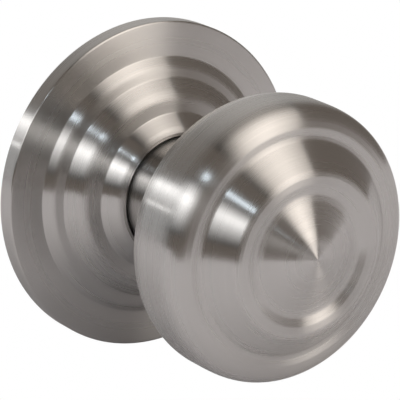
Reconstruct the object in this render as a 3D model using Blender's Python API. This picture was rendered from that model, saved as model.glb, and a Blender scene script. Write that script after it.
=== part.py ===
"""Round turned-steel door knob on a stepped rose, built as its separate pieces.

Frame: the origin is the centre of the rose's back on the door's face, the door is the plane y = 0,
the knob stands out along -Y and +Z is up. Depths below are measured from the door along -Y.
"""
import math

import bmesh
import bpy
from mathutils import Matrix, Vector

MM = 0.001
GAP = 0.3 * MM              # clearance between neighbouring pieces

# Rose cover: a pressed disc that climbs to its neck in three steps
ROSE_RADIUS = 33.35 * MM
ROSE_WALL = 1.0 * MM
RIM_DEPTH = 3.2 * MM        # height of the straight rim
RIM_ROUND = 0.4 * MM
# each step: radius and depth at the riser's foot, radius and depth at its top
ROSE_STEPS = (
    (26.15 * MM, 4.05 * MM, 24.9 * MM, 5.2 * MM),
    (22.6 * MM, 5.9 * MM, 20.0 * MM, 8.6 * MM),
    (16.3 * MM, 9.4 * MM, 14.0 * MM, 12.1 * MM),
)
NECK_LIP_RADIUS = 13.2 * MM
NECK_LIP_DEPTH = 12.5 * MM
NECK_HOLE_RADIUS = 12.35 * MM

# Knob head: two pressed shells
KNOB_RADIUS = 27.4 * MM     # at the widest place
WIDEST_DEPTH = 40.3 * MM
BACK_LENGTH = 17.0 * MM     # half axis of the rounded back
BACK_EXPONENT = 1.774
FRONT_LENGTH = 11.2 * MM    # half axis of the tight front shoulder
FRONT_EXPONENT = 5.8
SHELL_WALL = 1.0 * MM
SEAM_RADIUS = 21.9 * MM     # where the two shells meet, on the back
SHOULDER_END_RADIUS = 24.9 * MM
TIP_DEPTH = 57.95 * MM
# the turned face inside the shoulder, from the groove in over the raised ring to the top of the central cone
FACE_PROFILE = (
    (22.9 * MM, 50.46 * MM),
    (21.1 * MM, 50.52 * MM),
    (16.1 * MM, 54.95 * MM),
    (15.2 * MM, 55.22 * MM),
    (13.8 * MM, 55.16 * MM),
    (11.9 * MM, 54.62 * MM),
    (10.4 * MM, 54.92 * MM),
    (4.0 * MM, 57.34 * MM),
)

# Shank, and what carries it
SHANK_RADIUS = 11.75 * MM
SHANK_SHOULDER_DEPTH = 10.0 * MM
SHANK_FRONT_DEPTH = 25.1 * MM
SPIGOT_RADIUS = 9.5 * MM
SPIGOT_END_DEPTH = 32.5 * MM
JOURNAL_RADIUS = 8.0 * MM
JOURNAL_END_DEPTH = 3.7 * MM
CLIP_GROOVE_RADIUS = 7.3 * MM
CLIP_GROOVE = (4.2 * MM, 5.6 * MM)
SPINDLE_WIDTH = 8.0 * MM
SPINDLE_FRONT_DEPTH = 31.5 * MM
SPINDLE_REACH = 32.0 * MM   # past the door's face, to the latch
GRUB_DEPTH = 17.5 * MM
GRUB_RADIUS = 2.7 * MM
GRUB_REACH = (4.3 * MM, 10.9 * MM)      # from the axis, its inner and outer ends

# Mounting plate with the spring cup
PLATE_RADIUS = 30.0 * MM
PLATE_THICKNESS = 2.5 * MM
PLATE_HOLE_RADIUS = 6.6 * MM
CUP_FLOOR = 1.2 * MM
CUP_INNER_RADIUS = 18.1 * MM
CUP_OUTER_RADIUS = 19.3 * MM
CUP_HEIGHT = 6.2 * MM
STOP_WIDTH = 4.0 * MM
STOP_INNER_RADIUS = 12.8 * MM
RIVET_RADIUS = 1.0 * MM
RIVET_HEAD_RADIUS = 1.8 * MM
RIVET_FOOT_DEPTH = 3.2 * MM
COVER_SHEET = 0.9 * MM      # thickness of the cassette's cover
CAM_TOP = 3.3 * MM
CAM_RADIUS = 10.5 * MM
CAM_REACH = 17.2 * MM       # outer end of the cam's two fingers
SPRING_CIRCLE = 15.2 * MM   # radius of the circle the springs and rivets lie on
SPRING_DEPTH = 3.7 * MM
COIL_RADIUS = 1.65 * MM
WIRE_RADIUS = 0.35 * MM
COIL_TURNS = 6

SCREW_CIRCLE = 24.0 * MM
SCREW_ANGLES = (90, 210, 330)
SCREW_REACH = 14.0 * MM     # past the door's face, into the wood
SCREW_HEAD_RADIUS = 3.8 * MM
SCREW_RADIUS = 1.9 * MM
THREAD_PITCH = 1.8 * MM
COVER_CLIP_ANGLES = (30, 150, 270)

FINE = 56                   # facets round the large turned pieces
MEDIUM = 32
SMALL = 16


def clear_scene():
    for obj in list(bpy.data.objects):
        bpy.data.objects.remove(obj, do_unlink=True)


def make_material(name, colour, roughness, metallic):
    material = bpy.data.materials.new(name)
    material.use_nodes = True
    shader = material.node_tree.nodes["Principled BSDF"]
    shader.inputs["Base Color"].default_value = (*colour, 1.0)
    shader.inputs["Roughness"].default_value = roughness
    shader.inputs["Metallic"].default_value = metallic
    return material


def add_object(name, bm, material, parent=None):
    """Finish a bmesh as a smooth-shaded object with sharp edges where its faces turn sharply."""
    bmesh.ops.remove_doubles(bm, verts=bm.verts, dist=1e-7)
    bmesh.ops.recalc_face_normals(bm, faces=bm.faces)
    mesh = bpy.data.meshes.new(name)
    bm.to_mesh(mesh)
    bm.free()
    mesh.shade_smooth()
    mesh.set_sharp_from_angle(angle=math.radians(35))
    mesh.materials.append(material)
    obj = bpy.data.objects.new(name, mesh)
    bpy.context.collection.objects.link(obj)
    obj.parent = parent
    return obj


def turned(outline, facets):
    """Spin a closed outline of (radius, depth) points about the knob's axis."""
    bm = bmesh.new()
    verts = [bm.verts.new((radius, -depth, 0.0)) for radius, depth in outline]
    edges = [bm.edges.new((a, b)) for a, b in zip(verts, verts[1:])]
    on_axis = outline[0][0] == 0.0 and outline[-1][0] == 0.0
    if not on_axis:
        edges.append(bm.edges.new((verts[-1], verts[0])))
    bmesh.ops.spin(
        bm, geom=verts + edges, cent=(0, 0, 0), axis=(0, 1, 0),
        angle=2 * math.pi, steps=facets, use_merge=True, use_duplicate=False,
    )
    return bm


def slab(outline, depth_low, depth_high):
    """Extrude a flat outline of (x, z) points between two depths."""
    bm = bmesh.new()
    face = bm.faces.new([bm.verts.new((x, -depth_low, z)) for x, z in outline])
    lifted = bmesh.ops.extrude_face_region(bm, geom=[face])
    moved = [item for item in lifted["geom"] if isinstance(item, bmesh.types.BMVert)]
    bmesh.ops.translate(bm, verts=moved, vec=(0, depth_low - depth_high, 0))
    return bm


def block(x_range, z_range, depth_range):
    left, right = x_range
    low, high = z_range
    return slab([(left, low), (right, low), (right, high), (left, high)], *depth_range)


def pin(radius, depth_low, depth_high):
    """Plain solid cylinder about the knob's axis."""
    return turned([(0.0, depth_low), (radius, depth_low), (radius, depth_high), (0.0, depth_high)], SMALL)


def ring(bore, radius, depth_low, depth_high):
    """Flat ring about the knob's axis."""
    outline = [(bore, depth_low), (radius, depth_low), (radius, depth_high), (bore, depth_high)]
    return turned(outline, MEDIUM)


def hex_prism(radius, depth_range):
    outline = [(radius * math.cos(k * math.pi / 3), radius * math.sin(k * math.pi / 3)) for k in range(6)]
    return slab(outline, *depth_range)


def boolean(obj, name, bm, operation, matrix=None):
    """Cut or join a hidden tool shape with the EXACT solver."""
    tool = add_object(name, bm, obj.data.materials[0])
    if matrix is not None:
        tool.data.transform(matrix)
    tool.hide_render = True
    tool.display_type = "WIRE"
    modifier = obj.modifiers.new(name, "BOOLEAN")
    modifier.operation = operation
    modifier.solver = "EXACT"
    modifier.object = tool


def about_axis(degrees):
    """Rotation about the knob's axis that carries +X to the given angle, counted towards +Z."""
    return Matrix.Rotation(-math.radians(degrees), 4, "Y")


def offset_outline(outline, distance):
    """Move an open outline sideways by a wall thickness, with mitred corners.

    It moves to the left of the direction of travel, which is inwards for a line drawn from the door
    round to the front.
    """
    points = [Vector(point) for point in outline]
    steps = [(b - a).normalized() for a, b in zip(points, points[1:])]
    moved = []
    for index, point in enumerate(points):
        before = steps[max(index - 1, 0)]
        after = steps[min(index, len(steps) - 1)]
        normal = Vector((-before.y - after.y, before.x + after.x)).normalized()
        mitre = normal.dot(Vector((-after.y, after.x)))
        moved.append(tuple(point + normal * (distance / mitre)))
    return moved


def superellipse(half_length, exponent, radius_from, radius_to, count):
    """Points of |radius / widest|^n + |depth from widest / half length|^n = 1 between two radii."""
    start = math.acos((radius_from / KNOB_RADIUS) ** (exponent / 2))
    end = math.acos((radius_to / KNOB_RADIUS) ** (exponent / 2))
    points = []
    for k in range(count):
        angle = start + (end - start) * k / (count - 1)
        radius = KNOB_RADIUS * math.cos(angle) ** (2 / exponent)
        depth = WIDEST_DEPTH + half_length * math.sin(angle) ** (2 / exponent)
        points.append((radius, depth))
    return points


def mirrored_back(points):
    return [(radius, 2 * WIDEST_DEPTH - depth) for radius, depth in points]


# ---------------------------------------------------------------- rose and what it hides

def rose_outline():
    """Outer line of the rose, from the rim at the door to the hole in its neck."""
    points = [(ROSE_RADIUS, 0.0), (ROSE_RADIUS, RIM_DEPTH), (ROSE_RADIUS - RIM_ROUND, RIM_DEPTH + RIM_ROUND)]
    for foot_radius, foot_depth, top_radius, top_depth in ROSE_STEPS:
        points += [(foot_radius, foot_depth), (top_radius, top_depth)]
    points += [(NECK_LIP_RADIUS, NECK_LIP_DEPTH), (NECK_HOLE_RADIUS, NECK_LIP_DEPTH)]
    return points


def make_rose_cover(material):
    outer = rose_outline()
    inner = offset_outline(outer, ROSE_WALL)
    inner[0] = (ROSE_RADIUS - ROSE_WALL, 0.0)
    inner[-1] = (NECK_HOLE_RADIUS, NECK_LIP_DEPTH - ROSE_WALL)
    add_object("rose_cover", turned(outer + inner[::-1], FINE), material)


def make_mounting_plate(material):
    outline = [
        (PLATE_HOLE_RADIUS, 0.0), (PLATE_RADIUS, 0.0), (PLATE_RADIUS, PLATE_THICKNESS),
        (CUP_OUTER_RADIUS, PLATE_THICKNESS), (CUP_OUTER_RADIUS, CUP_HEIGHT), (CUP_INNER_RADIUS, CUP_HEIGHT),
        (CUP_INNER_RADIUS, CUP_FLOOR), (PLATE_HOLE_RADIUS, CUP_FLOOR),
    ]
    plate = add_object("mounting_plate", turned(outline, MEDIUM), material)
    overlap = 0.4 * MM
    for side in (-1, 1):
        ends = sorted((side * STOP_INNER_RADIUS, side * (CUP_INNER_RADIUS + overlap)))
        stop = block(ends, (-STOP_WIDTH / 2, STOP_WIDTH / 2), (CUP_FLOOR - overlap, CUP_HEIGHT))
        boolean(plate, "stop_block_tool", stop, "UNION")
        hole = pin(RIVET_RADIUS + GAP, RIVET_FOOT_DEPTH - GAP, CUP_HEIGHT + 1 * MM)
        place = Matrix.Translation((side * SPRING_CIRCLE, 0, 0))
        boolean(plate, "rivet_hole_tool", hole, "DIFFERENCE", place)
    hole_radius = SCREW_RADIUS + GAP
    head_radius = SCREW_HEAD_RADIUS + GAP
    below = -1 * MM
    above = PLATE_THICKNESS + 1.5 * MM
    cone_top = PLATE_THICKNESS + 0.1 * MM
    cone_foot = cone_top - (head_radius - hole_radius)
    countersink = [
        (0.0, below), (hole_radius, below), (hole_radius, cone_foot),
        (head_radius, cone_top), (head_radius, above), (0.0, above),
    ]
    for angle in SCREW_ANGLES:
        place = about_axis(angle) @ Matrix.Translation((SCREW_CIRCLE, 0, 0))
        boolean(plate, "screw_hole_tool", turned(countersink, SMALL), "DIFFERENCE", place)


def make_cassette_cover(material):
    bottom = CUP_HEIGHT + GAP
    top = bottom + COVER_SHEET
    cover = add_object("cassette_cover", ring(9.9 * MM, CUP_OUTER_RADIUS - 0.5 * MM, bottom, top), material)
    for side in (-1, 1):
        hole = pin(RIVET_RADIUS + GAP, bottom - 1 * MM, top + 1 * MM)
        place = Matrix.Translation((side * SPRING_CIRCLE, 0, 0))
        boolean(cover, "cover_hole_tool", hole, "DIFFERENCE", place)


def make_cassette_rivets(material):
    head_foot = CUP_HEIGHT + GAP + COVER_SHEET + 0.15 * MM
    outline = [
        (0.0, RIVET_FOOT_DEPTH), (RIVET_RADIUS, RIVET_FOOT_DEPTH), (RIVET_RADIUS, head_foot),
        (RIVET_HEAD_RADIUS, head_foot + 0.15 * MM), (RIVET_HEAD_RADIUS - 0.1 * MM, head_foot + 0.45 * MM),
        (0.0, head_foot + 0.6 * MM),
    ]
    for name, side in (("cassette_rivet_left", -1), ("cassette_rivet_right", 1)):
        bm = turned(outline, SMALL)
        bmesh.ops.translate(bm, verts=bm.verts, vec=(side * SPRING_CIRCLE, 0, 0))
        add_object(name, bm, material)


def make_neck_bush(material):
    """Flanged bearing that fits inside the cassette's cover, with the flange on the cover's front."""
    bore = JOURNAL_RADIUS + GAP
    body_radius = 9.6 * MM
    flange_radius = 11.4 * MM
    back, flange_back, front = 6.4 * MM, 7.7 * MM, 8.5 * MM
    outline = [
        (bore, back), (body_radius, back), (body_radius, flange_back), (flange_radius, flange_back),
        (flange_radius, front), (bore, front),
    ]
    add_object("neck_bush", turned(outline, MEDIUM), material)


def spring_points(start_degrees, end_degrees):
    """Helix of COIL_TURNS turns wound round the spring circle between two angles."""
    per_turn = 10
    count = COIL_TURNS * per_turn
    points = []
    for k in range(count + 1):
        along = math.radians(start_degrees + (end_degrees - start_degrees) * k / count)
        turn = 2 * math.pi * k / per_turn
        radius = SPRING_CIRCLE + COIL_RADIUS * math.cos(turn)
        depth = SPRING_DEPTH + COIL_RADIUS * math.sin(turn)
        points.append((radius * math.cos(along), -depth, radius * math.sin(along)))
    return points


def make_return_springs(material):
    """One compression spring in each quarter, between a fixed stop and a finger of the drive cam."""
    near_stop, near_finger = 11.5, 80.0
    names = ("return_spring_upper_right", "return_spring_upper_left",
             "return_spring_lower_left", "return_spring_lower_right")
    for quarter, name in enumerate(names):
        first = near_stop if quarter % 2 == 0 else 90 - near_finger
        last = near_finger if quarter % 2 == 0 else 90 - near_stop
        points = spring_points(90 * quarter + first, 90 * quarter + last)
        curve = bpy.data.curves.new(name, "CURVE")
        curve.dimensions = "3D"
        curve.bevel_depth = WIRE_RADIUS
        curve.bevel_resolution = 1
        curve.use_fill_caps = True
        spline = curve.splines.new("POLY")
        spline.points.add(len(points) - 1)
        for point, place in zip(spline.points, points):
            point.co = (*place, 1.0)
        curve.materials.append(material)
        obj = bpy.data.objects.new(name, curve)
        bpy.context.collection.objects.link(obj)


def make_cover_clips(material):
    """Bowed leaf springs on the plate's edge that hold the rose cover by friction."""
    inner_radius = PLATE_RADIUS + GAP
    leaf = 0.6 * MM
    bow = 1.1 * MM
    half_span = 13              # degrees
    back, front = 0.5 * MM, 2.1 * MM
    count = 12
    names = ("cover_clip_right", "cover_clip_left", "cover_clip_bottom")
    for name, middle in zip(names, COVER_CLIP_ANGLES):
        outline = []
        for k in range(count + 1):
            angle = math.radians(middle - half_span + 2 * half_span * k / count)
            reach = inner_radius + leaf + bow * math.sin(math.pi * k / count) ** 2
            outline.append((reach * math.cos(angle), reach * math.sin(angle)))
        for k in range(count, -1, -1):
            angle = math.radians(middle - half_span + 2 * half_span * k / count)
            outline.append((inner_radius * math.cos(angle), inner_radius * math.sin(angle)))
        add_object(name, slab(outline, back, front), material)


def wood_screw_outline():
    """Countersunk wood screw from the head's centre down a ridged thread to its point."""
    head_depth = PLATE_THICKNESS
    neck_depth = head_depth - (SCREW_HEAD_RADIUS - SCREW_RADIUS)
    plain_length = 2 * MM
    point_length = 1.5 * MM
    root_radius = SCREW_RADIUS - 0.5 * MM
    points = [(0.0, head_depth), (SCREW_HEAD_RADIUS, head_depth), (SCREW_RADIUS, neck_depth)]
    depth = neck_depth - plain_length
    while depth > THREAD_PITCH + point_length - SCREW_REACH:
        points += [(root_radius, depth), (SCREW_RADIUS, depth - THREAD_PITCH / 2)]
        depth -= THREAD_PITCH
    points += [(root_radius, depth), (0.0, -SCREW_REACH)]
    return points


def make_wood_screws(material):
    reach, wide = 2.1 * MM, 0.5 * MM            # half length and half width of the driver cross
    bottom, above = PLATE_THICKNESS - 1.3 * MM, PLATE_THICKNESS + 1.5 * MM
    cross = [
        (reach, wide), (wide, wide), (wide, reach), (-wide, reach), (-wide, wide), (-reach, wide),
        (-reach, -wide), (-wide, -wide), (-wide, -reach), (wide, -reach), (wide, -wide), (reach, -wide),
    ]
    for name, angle in zip(("wood_screw_top", "wood_screw_left", "wood_screw_right"), SCREW_ANGLES):
        place = about_axis(angle) @ Matrix.Translation((SCREW_CIRCLE, 0, 0))
        bm = turned(wood_screw_outline(), SMALL)
        bmesh.ops.transform(bm, matrix=place, verts=bm.verts)
        screw = add_object(name, bm, material)
        boolean(screw, "driver_slot_tool", slab(cross, bottom, above), "DIFFERENCE", place)


# ---------------------------------------------------------------- everything that turns

def make_front_shell(material, axis):
    outer = mirrored_back(superellipse(BACK_LENGTH, BACK_EXPONENT, SEAM_RADIUS + GAP / 2, KNOB_RADIUS, 6))
    outer += superellipse(FRONT_LENGTH, FRONT_EXPONENT, KNOB_RADIUS, SHOULDER_END_RADIUS, 9)[1:]
    curved = len(outer)
    outer += [*FACE_PROFILE, (0.0, TIP_DEPTH)]
    inner = offset_outline(outer, SHELL_WALL)
    inner = [*inner[:curved:2], *inner[curved:-1], (0.0, TIP_DEPTH - 1.2 * SHELL_WALL)]
    add_object("knob_front_shell", turned(inner[::-1] + outer, FINE), material, axis)


def make_back_shell(material, axis):
    """Rear shell, with a thick seat round its hole where the lock nut clamps it to the shank."""
    outer = mirrored_back(superellipse(BACK_LENGTH, BACK_EXPONENT, SHANK_RADIUS, SEAM_RADIUS - GAP / 2, 6))
    seat_radius = 13.8 * MM
    seat_depth = 27.5 * MM
    clear_of_seat = seat_radius + 1 * MM
    hole_radius = SPIGOT_RADIUS + GAP
    inner = [point for point in offset_outline(outer, SHELL_WALL) if point[0] > clear_of_seat]
    outline = [(hole_radius, outer[0][1])] + outer + inner[::-1]
    outline += [(seat_radius, seat_depth), (hole_radius, seat_depth)]
    add_object("knob_back_shell", turned(outline, FINE), material, axis)


def make_shank(material, axis):
    core_radius = 3.0 * MM      # inside the square hole, so the broach clears it
    chamfer = 0.4 * MM
    outline = [
        (core_radius, JOURNAL_END_DEPTH), (JOURNAL_RADIUS, JOURNAL_END_DEPTH),
        (JOURNAL_RADIUS, CLIP_GROOVE[0]),
        (CLIP_GROOVE_RADIUS, CLIP_GROOVE[0]), (CLIP_GROOVE_RADIUS, CLIP_GROOVE[1]),
        (JOURNAL_RADIUS, CLIP_GROOVE[1]), (JOURNAL_RADIUS, SHANK_SHOULDER_DEPTH),
        (SHANK_RADIUS - chamfer, SHANK_SHOULDER_DEPTH), (SHANK_RADIUS, SHANK_SHOULDER_DEPTH + chamfer),
        (SHANK_RADIUS, SHANK_FRONT_DEPTH), (SPIGOT_RADIUS, SHANK_FRONT_DEPTH),
        (SPIGOT_RADIUS, SPIGOT_END_DEPTH), (core_radius, SPIGOT_END_DEPTH),
    ]
    shank = add_object("knob_shank", turned(outline, MEDIUM), material, axis)
    half_hole = SPINDLE_WIDTH / 2 + GAP
    through = (JOURNAL_END_DEPTH - 2.7 * MM, SPIGOT_END_DEPTH + 3.5 * MM)
    broach = block((-half_hole, half_hole), (-half_hole, half_hole), through)
    boolean(shank, "broach_tool", broach, "DIFFERENCE")
    grub_hole = pin(GRUB_RADIUS + GAP, 3 * MM, SHANK_RADIUS + 2 * MM)
    boolean(shank, "grub_hole_tool", grub_hole, "DIFFERENCE", downwards_at_grub())


def downwards_at_grub():
    """Carry a piece turned about -Y to the grub screw's place, pointing straight down."""
    return Matrix.Translation((0, -GRUB_DEPTH, 0)) @ Matrix.Rotation(math.radians(90), 4, "X")


def make_grub_screw(material, axis):
    inner_end, outer_end = GRUB_REACH
    chamfer = 0.4 * MM
    socket_radius = 1.7 * MM
    socket_deep = 2.5 * MM
    outline = [
        (0.0, inner_end), (GRUB_RADIUS - 2 * chamfer, inner_end), (GRUB_RADIUS, inner_end + 2 * chamfer),
        (GRUB_RADIUS, outer_end - chamfer), (GRUB_RADIUS - chamfer, outer_end), (0.0, outer_end),
    ]
    bm = turned(outline, SMALL)
    bmesh.ops.transform(bm, matrix=downwards_at_grub(), verts=bm.verts)
    screw = add_object("grub_screw", bm, material, axis)
    socket = hex_prism(socket_radius, (outer_end - socket_deep, outer_end + 1 * MM))
    boolean(screw, "hex_socket_tool", socket, "DIFFERENCE", downwards_at_grub())


def make_spindle(material, axis):
    half = SPINDLE_WIDTH / 2
    bar = block((-half, half), (-half, half), (-SPINDLE_REACH, SPINDLE_FRONT_DEPTH))
    spindle = add_object("spindle", bar, material, axis)
    bevel = spindle.modifiers.new("edge_break", "BEVEL")
    bevel.width = 0.5 * MM
    bevel.segments = 1


def make_lock_nut(material, axis):
    """Thin ring nut on the shank's spigot, with two crossed slots for a pin spanner."""
    radius = 13.4 * MM
    back, front = 27.8 * MM, 31.2 * MM
    slot_bottom = 30 * MM
    slot_half = 1 * MM
    beyond = radius + 0.6 * MM
    nut = add_object("shell_lock_nut", ring(SPIGOT_RADIUS + GAP, radius, back, front), material, axis)
    for angle in (0, 90):
        slot = block((-beyond, beyond), (-slot_half, slot_half), (slot_bottom, front + 2 * MM))
        boolean(nut, "spanner_slot_tool", slot, "DIFFERENCE", about_axis(angle))


def make_circlip(material, axis):
    """Open retaining ring with an ear at each side of its gap, in the journal's groove."""
    inner_radius = CLIP_GROOVE_RADIUS + GAP
    band_radius, ear_radius = 9.6 * MM, 10.6 * MM
    half_gap, ear_span = 22, 14             # degrees
    back, front = CLIP_GROOVE[0] + GAP, CLIP_GROOVE[1] - GAP
    count = 26
    angles = [half_gap + (360 - 2 * half_gap) * k / count for k in range(count + 1)]
    outline = []
    for degrees in angles:
        from_gap = min(degrees, 360 - degrees) - half_gap
        reach = ear_radius if from_gap < ear_span else band_radius
        outline.append((reach * math.cos(math.radians(degrees)), reach * math.sin(math.radians(degrees))))
    for degrees in reversed(angles):
        turn = math.radians(degrees)
        outline.append((inner_radius * math.cos(turn), inner_radius * math.sin(turn)))
    add_object("circlip", slab(outline, back, front), material, axis)


def make_thrust_washer(material, axis):
    back = CLIP_GROOVE[1]
    washer = ring(JOURNAL_RADIUS + GAP, 11.6 * MM, back, back + 0.5 * MM)
    add_object("thrust_washer", washer, material, axis)


def make_wave_washer(material, axis):
    """Thin ring bent into three waves, which takes up the shank's end play."""
    back = 9.1 * MM
    wave = 0.25 * MM
    bm = ring(8.6 * MM, 11.1 * MM, back, back + 0.3 * MM)
    for vert in bm.verts:
        vert.co.y += wave * math.sin(3 * math.atan2(vert.co.z, vert.co.x))
    add_object("wave_washer", bm, material, axis)


def make_drive_cam(material, axis):
    """Disc on the spindle's square with two raised fingers that push the return springs."""
    bore_half = SPINDLE_WIDTH / 2 + GAP
    core_radius = 3.0 * MM      # inside the square hole, so the broach clears it
    floor = CUP_FLOOR + GAP
    finger_top = CAM_TOP + 2 * MM
    finger_half = 1.6 * MM
    overlap = 0.5 * MM
    cam = add_object("drive_cam", ring(core_radius, CAM_RADIUS, floor, CAM_TOP), material, axis)
    broach = block((-bore_half, bore_half), (-bore_half, bore_half), (0, finger_top + 2 * MM))
    boolean(cam, "cam_broach_tool", broach, "DIFFERENCE")
    for side in (-1, 1):
        arm_ends = sorted((side * (CAM_RADIUS - 2 * overlap), side * CAM_REACH))
        arm = block((-finger_half, finger_half), arm_ends, (floor, CAM_TOP))
        boolean(cam, "cam_arm_tool", arm, "UNION")
        finger_ends = sorted((side * (CAM_REACH - 4 * MM), side * CAM_REACH))
        finger = block((-finger_half, finger_half), finger_ends, (CAM_TOP - overlap, finger_top))
        boolean(cam, "cam_finger_tool", finger, "UNION")


def main():
    clear_scene()
    satin_steel = make_material("satin_steel", (0.56, 0.53, 0.50), 0.32, 1.0)
    turned_steel = make_material("turned_steel", (0.50, 0.48, 0.46), 0.35, 1.0)
    zinc = make_material("zinc_casting", (0.52, 0.53, 0.55), 0.55, 1.0)
    plated = make_material("plated_steel", (0.62, 0.60, 0.52), 0.35, 1.0)
    spring_steel = make_material("spring_steel", (0.30, 0.30, 0.32), 0.35, 1.0)
    nylon = make_material("nylon", (0.85, 0.84, 0.80), 0.50, 0.0)
    black_oxide = make_material("black_oxide", (0.04, 0.04, 0.045), 0.45, 1.0)

    make_rose_cover(satin_steel)
    make_mounting_plate(zinc)
    make_cassette_cover(plated)
    make_cassette_rivets(plated)
    make_neck_bush(nylon)
    make_return_springs(spring_steel)
    make_cover_clips(spring_steel)
    make_wood_screws(plated)

    axis = bpy.data.objects.new("knob_axis", None)
    bpy.context.collection.objects.link(axis)
    make_front_shell(satin_steel, axis)
    make_back_shell(satin_steel, axis)
    make_shank(turned_steel, axis)
    make_grub_screw(black_oxide, axis)
    make_spindle(plated, axis)
    make_lock_nut(plated, axis)
    make_circlip(spring_steel, axis)
    make_thrust_washer(nylon, axis)
    make_wave_washer(spring_steel, axis)
    make_drive_cam(zinc, axis)


main()
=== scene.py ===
"""Looks of a satin steel door knob on a stepped rose: fine turned surfaces, finishes and a soft studio."""
import math

import bmesh
import bpy
import numpy as np
from mathutils import Matrix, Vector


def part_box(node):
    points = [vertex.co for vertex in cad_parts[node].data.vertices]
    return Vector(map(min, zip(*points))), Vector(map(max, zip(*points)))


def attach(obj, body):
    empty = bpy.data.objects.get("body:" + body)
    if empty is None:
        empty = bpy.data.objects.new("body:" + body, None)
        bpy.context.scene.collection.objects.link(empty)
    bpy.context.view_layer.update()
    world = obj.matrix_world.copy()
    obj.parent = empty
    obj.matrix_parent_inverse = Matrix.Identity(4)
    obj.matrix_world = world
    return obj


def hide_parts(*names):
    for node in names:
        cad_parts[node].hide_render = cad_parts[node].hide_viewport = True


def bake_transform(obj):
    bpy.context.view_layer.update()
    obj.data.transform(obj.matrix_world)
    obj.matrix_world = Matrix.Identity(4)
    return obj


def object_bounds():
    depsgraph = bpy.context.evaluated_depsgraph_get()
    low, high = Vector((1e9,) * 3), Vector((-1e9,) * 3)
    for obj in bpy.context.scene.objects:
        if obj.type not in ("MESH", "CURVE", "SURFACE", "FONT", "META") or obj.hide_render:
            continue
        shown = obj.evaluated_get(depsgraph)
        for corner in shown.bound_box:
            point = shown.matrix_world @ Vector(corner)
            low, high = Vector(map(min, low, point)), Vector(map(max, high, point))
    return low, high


bl_info = {
    "name": "Turned Door Knob",
    "version": (1, 0, 0),
    "blender": (4, 5, 0),
    "location": "View3D > Sidebar > Door Knob",
    "description": "Builds the fine surfaces and finishes of a ringed door knob and its studio",
    "category": "Object",
}

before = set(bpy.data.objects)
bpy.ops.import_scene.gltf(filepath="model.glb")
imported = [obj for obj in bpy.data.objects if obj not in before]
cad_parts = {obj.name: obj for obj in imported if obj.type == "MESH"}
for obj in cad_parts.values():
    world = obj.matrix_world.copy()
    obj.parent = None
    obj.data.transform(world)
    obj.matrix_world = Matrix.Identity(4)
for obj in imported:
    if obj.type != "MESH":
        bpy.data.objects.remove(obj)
CAD_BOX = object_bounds()
MM = 0.001


def depth_of(node, far=True):
    """Distance of a node's far or near end from the door, measured along -Y."""
    low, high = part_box(node)
    return -low.y if far else -high.y


def radius_of(node):
    """Half a node's width along X."""
    low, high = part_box(node)
    return (high.x - low.x) / 2


ROSE_RADIUS = radius_of("rose_cover")
ROSE_DEPTH = depth_of("rose_cover")
KNOB_RADIUS = radius_of("knob_front_shell")
KNOB_TIP_DEPTH = depth_of("knob_front_shell")
SHANK_RADIUS = radius_of("knob_shank")
BACK_SHELL_DEPTH = depth_of("knob_back_shell", far=False)
SPIGOT_END = depth_of("knob_shank")
SHANK_BACK = depth_of("knob_shank", far=False)
SHANK_FRONT = BACK_SHELL_DEPTH
SPINDLE_HALF = radius_of("spindle")
SPINDLE_FRONT = depth_of("spindle")
SPINDLE_BACK = depth_of("spindle", far=False)
GRUB_DEPTH = 17.5 * MM


# ---------------------------------------------------------------- settings a user would change

class KnobSizes(bpy.types.PropertyGroup):
    wall: bpy.props.FloatProperty(
        name="Sheet thickness", description="Wall of the pressed shells and of the rose",
        default=1.0 * MM, min=0.5 * MM, max=2 * MM, unit="LENGTH", subtype="DISTANCE")
    edge_round: bpy.props.FloatProperty(
        name="Edge rounding", description="Radius of the small rounded edges on the turned rings",
        default=0.45 * MM, min=0.05 * MM, max=1.5 * MM, unit="LENGTH", subtype="DISTANCE")
    facets: bpy.props.IntProperty(
        name="Facets", description="Divisions round the large turned pieces", default=288, min=48, max=360)


class KnobFinish(bpy.types.PropertyGroup):
    steel_colour: bpy.props.FloatVectorProperty(
        name="Satin steel", description="Colour of the brushed visible steel", subtype="COLOR",
        size=3, min=0, max=1, default=(0.60, 0.585, 0.57))
    grain_spread: bpy.props.FloatProperty(
        name="Grain spread", description="Roughness of the satin finish",
        default=0.27, min=0.05, max=0.8, subtype="FACTOR")
    grain_direction: bpy.props.FloatProperty(
        name="Grain stretch", description="How strongly the brushing stretches highlights across its rings",
        default=1.0, min=0.0, max=1.0, subtype="FACTOR")


class StudioSettings(bpy.types.PropertyGroup):
    lens: bpy.props.FloatProperty(
        name="Lens", description="Focal length of the camera", default=234.8 * MM, unit="LENGTH", subtype="DISTANCE")
    camera_distance: bpy.props.FloatProperty(
        name="Camera distance", description="From the camera to the middle of the knob set",
        default=16 * ROSE_RADIUS, unit="LENGTH", subtype="DISTANCE")
    camera_azimuth: bpy.props.FloatProperty(
        name="Camera azimuth", description="Camera's place round the object, to the left of its axis",
        default=math.radians(-34.56), subtype="ANGLE", unit="ROTATION")
    camera_elevation: bpy.props.FloatProperty(
        name="Camera elevation", description="Camera's height above the knob's axis as an angle",
        default=math.radians(18.50), subtype="ANGLE", unit="ROTATION")


# ---------------------------------------------------------------- shapes

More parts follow.
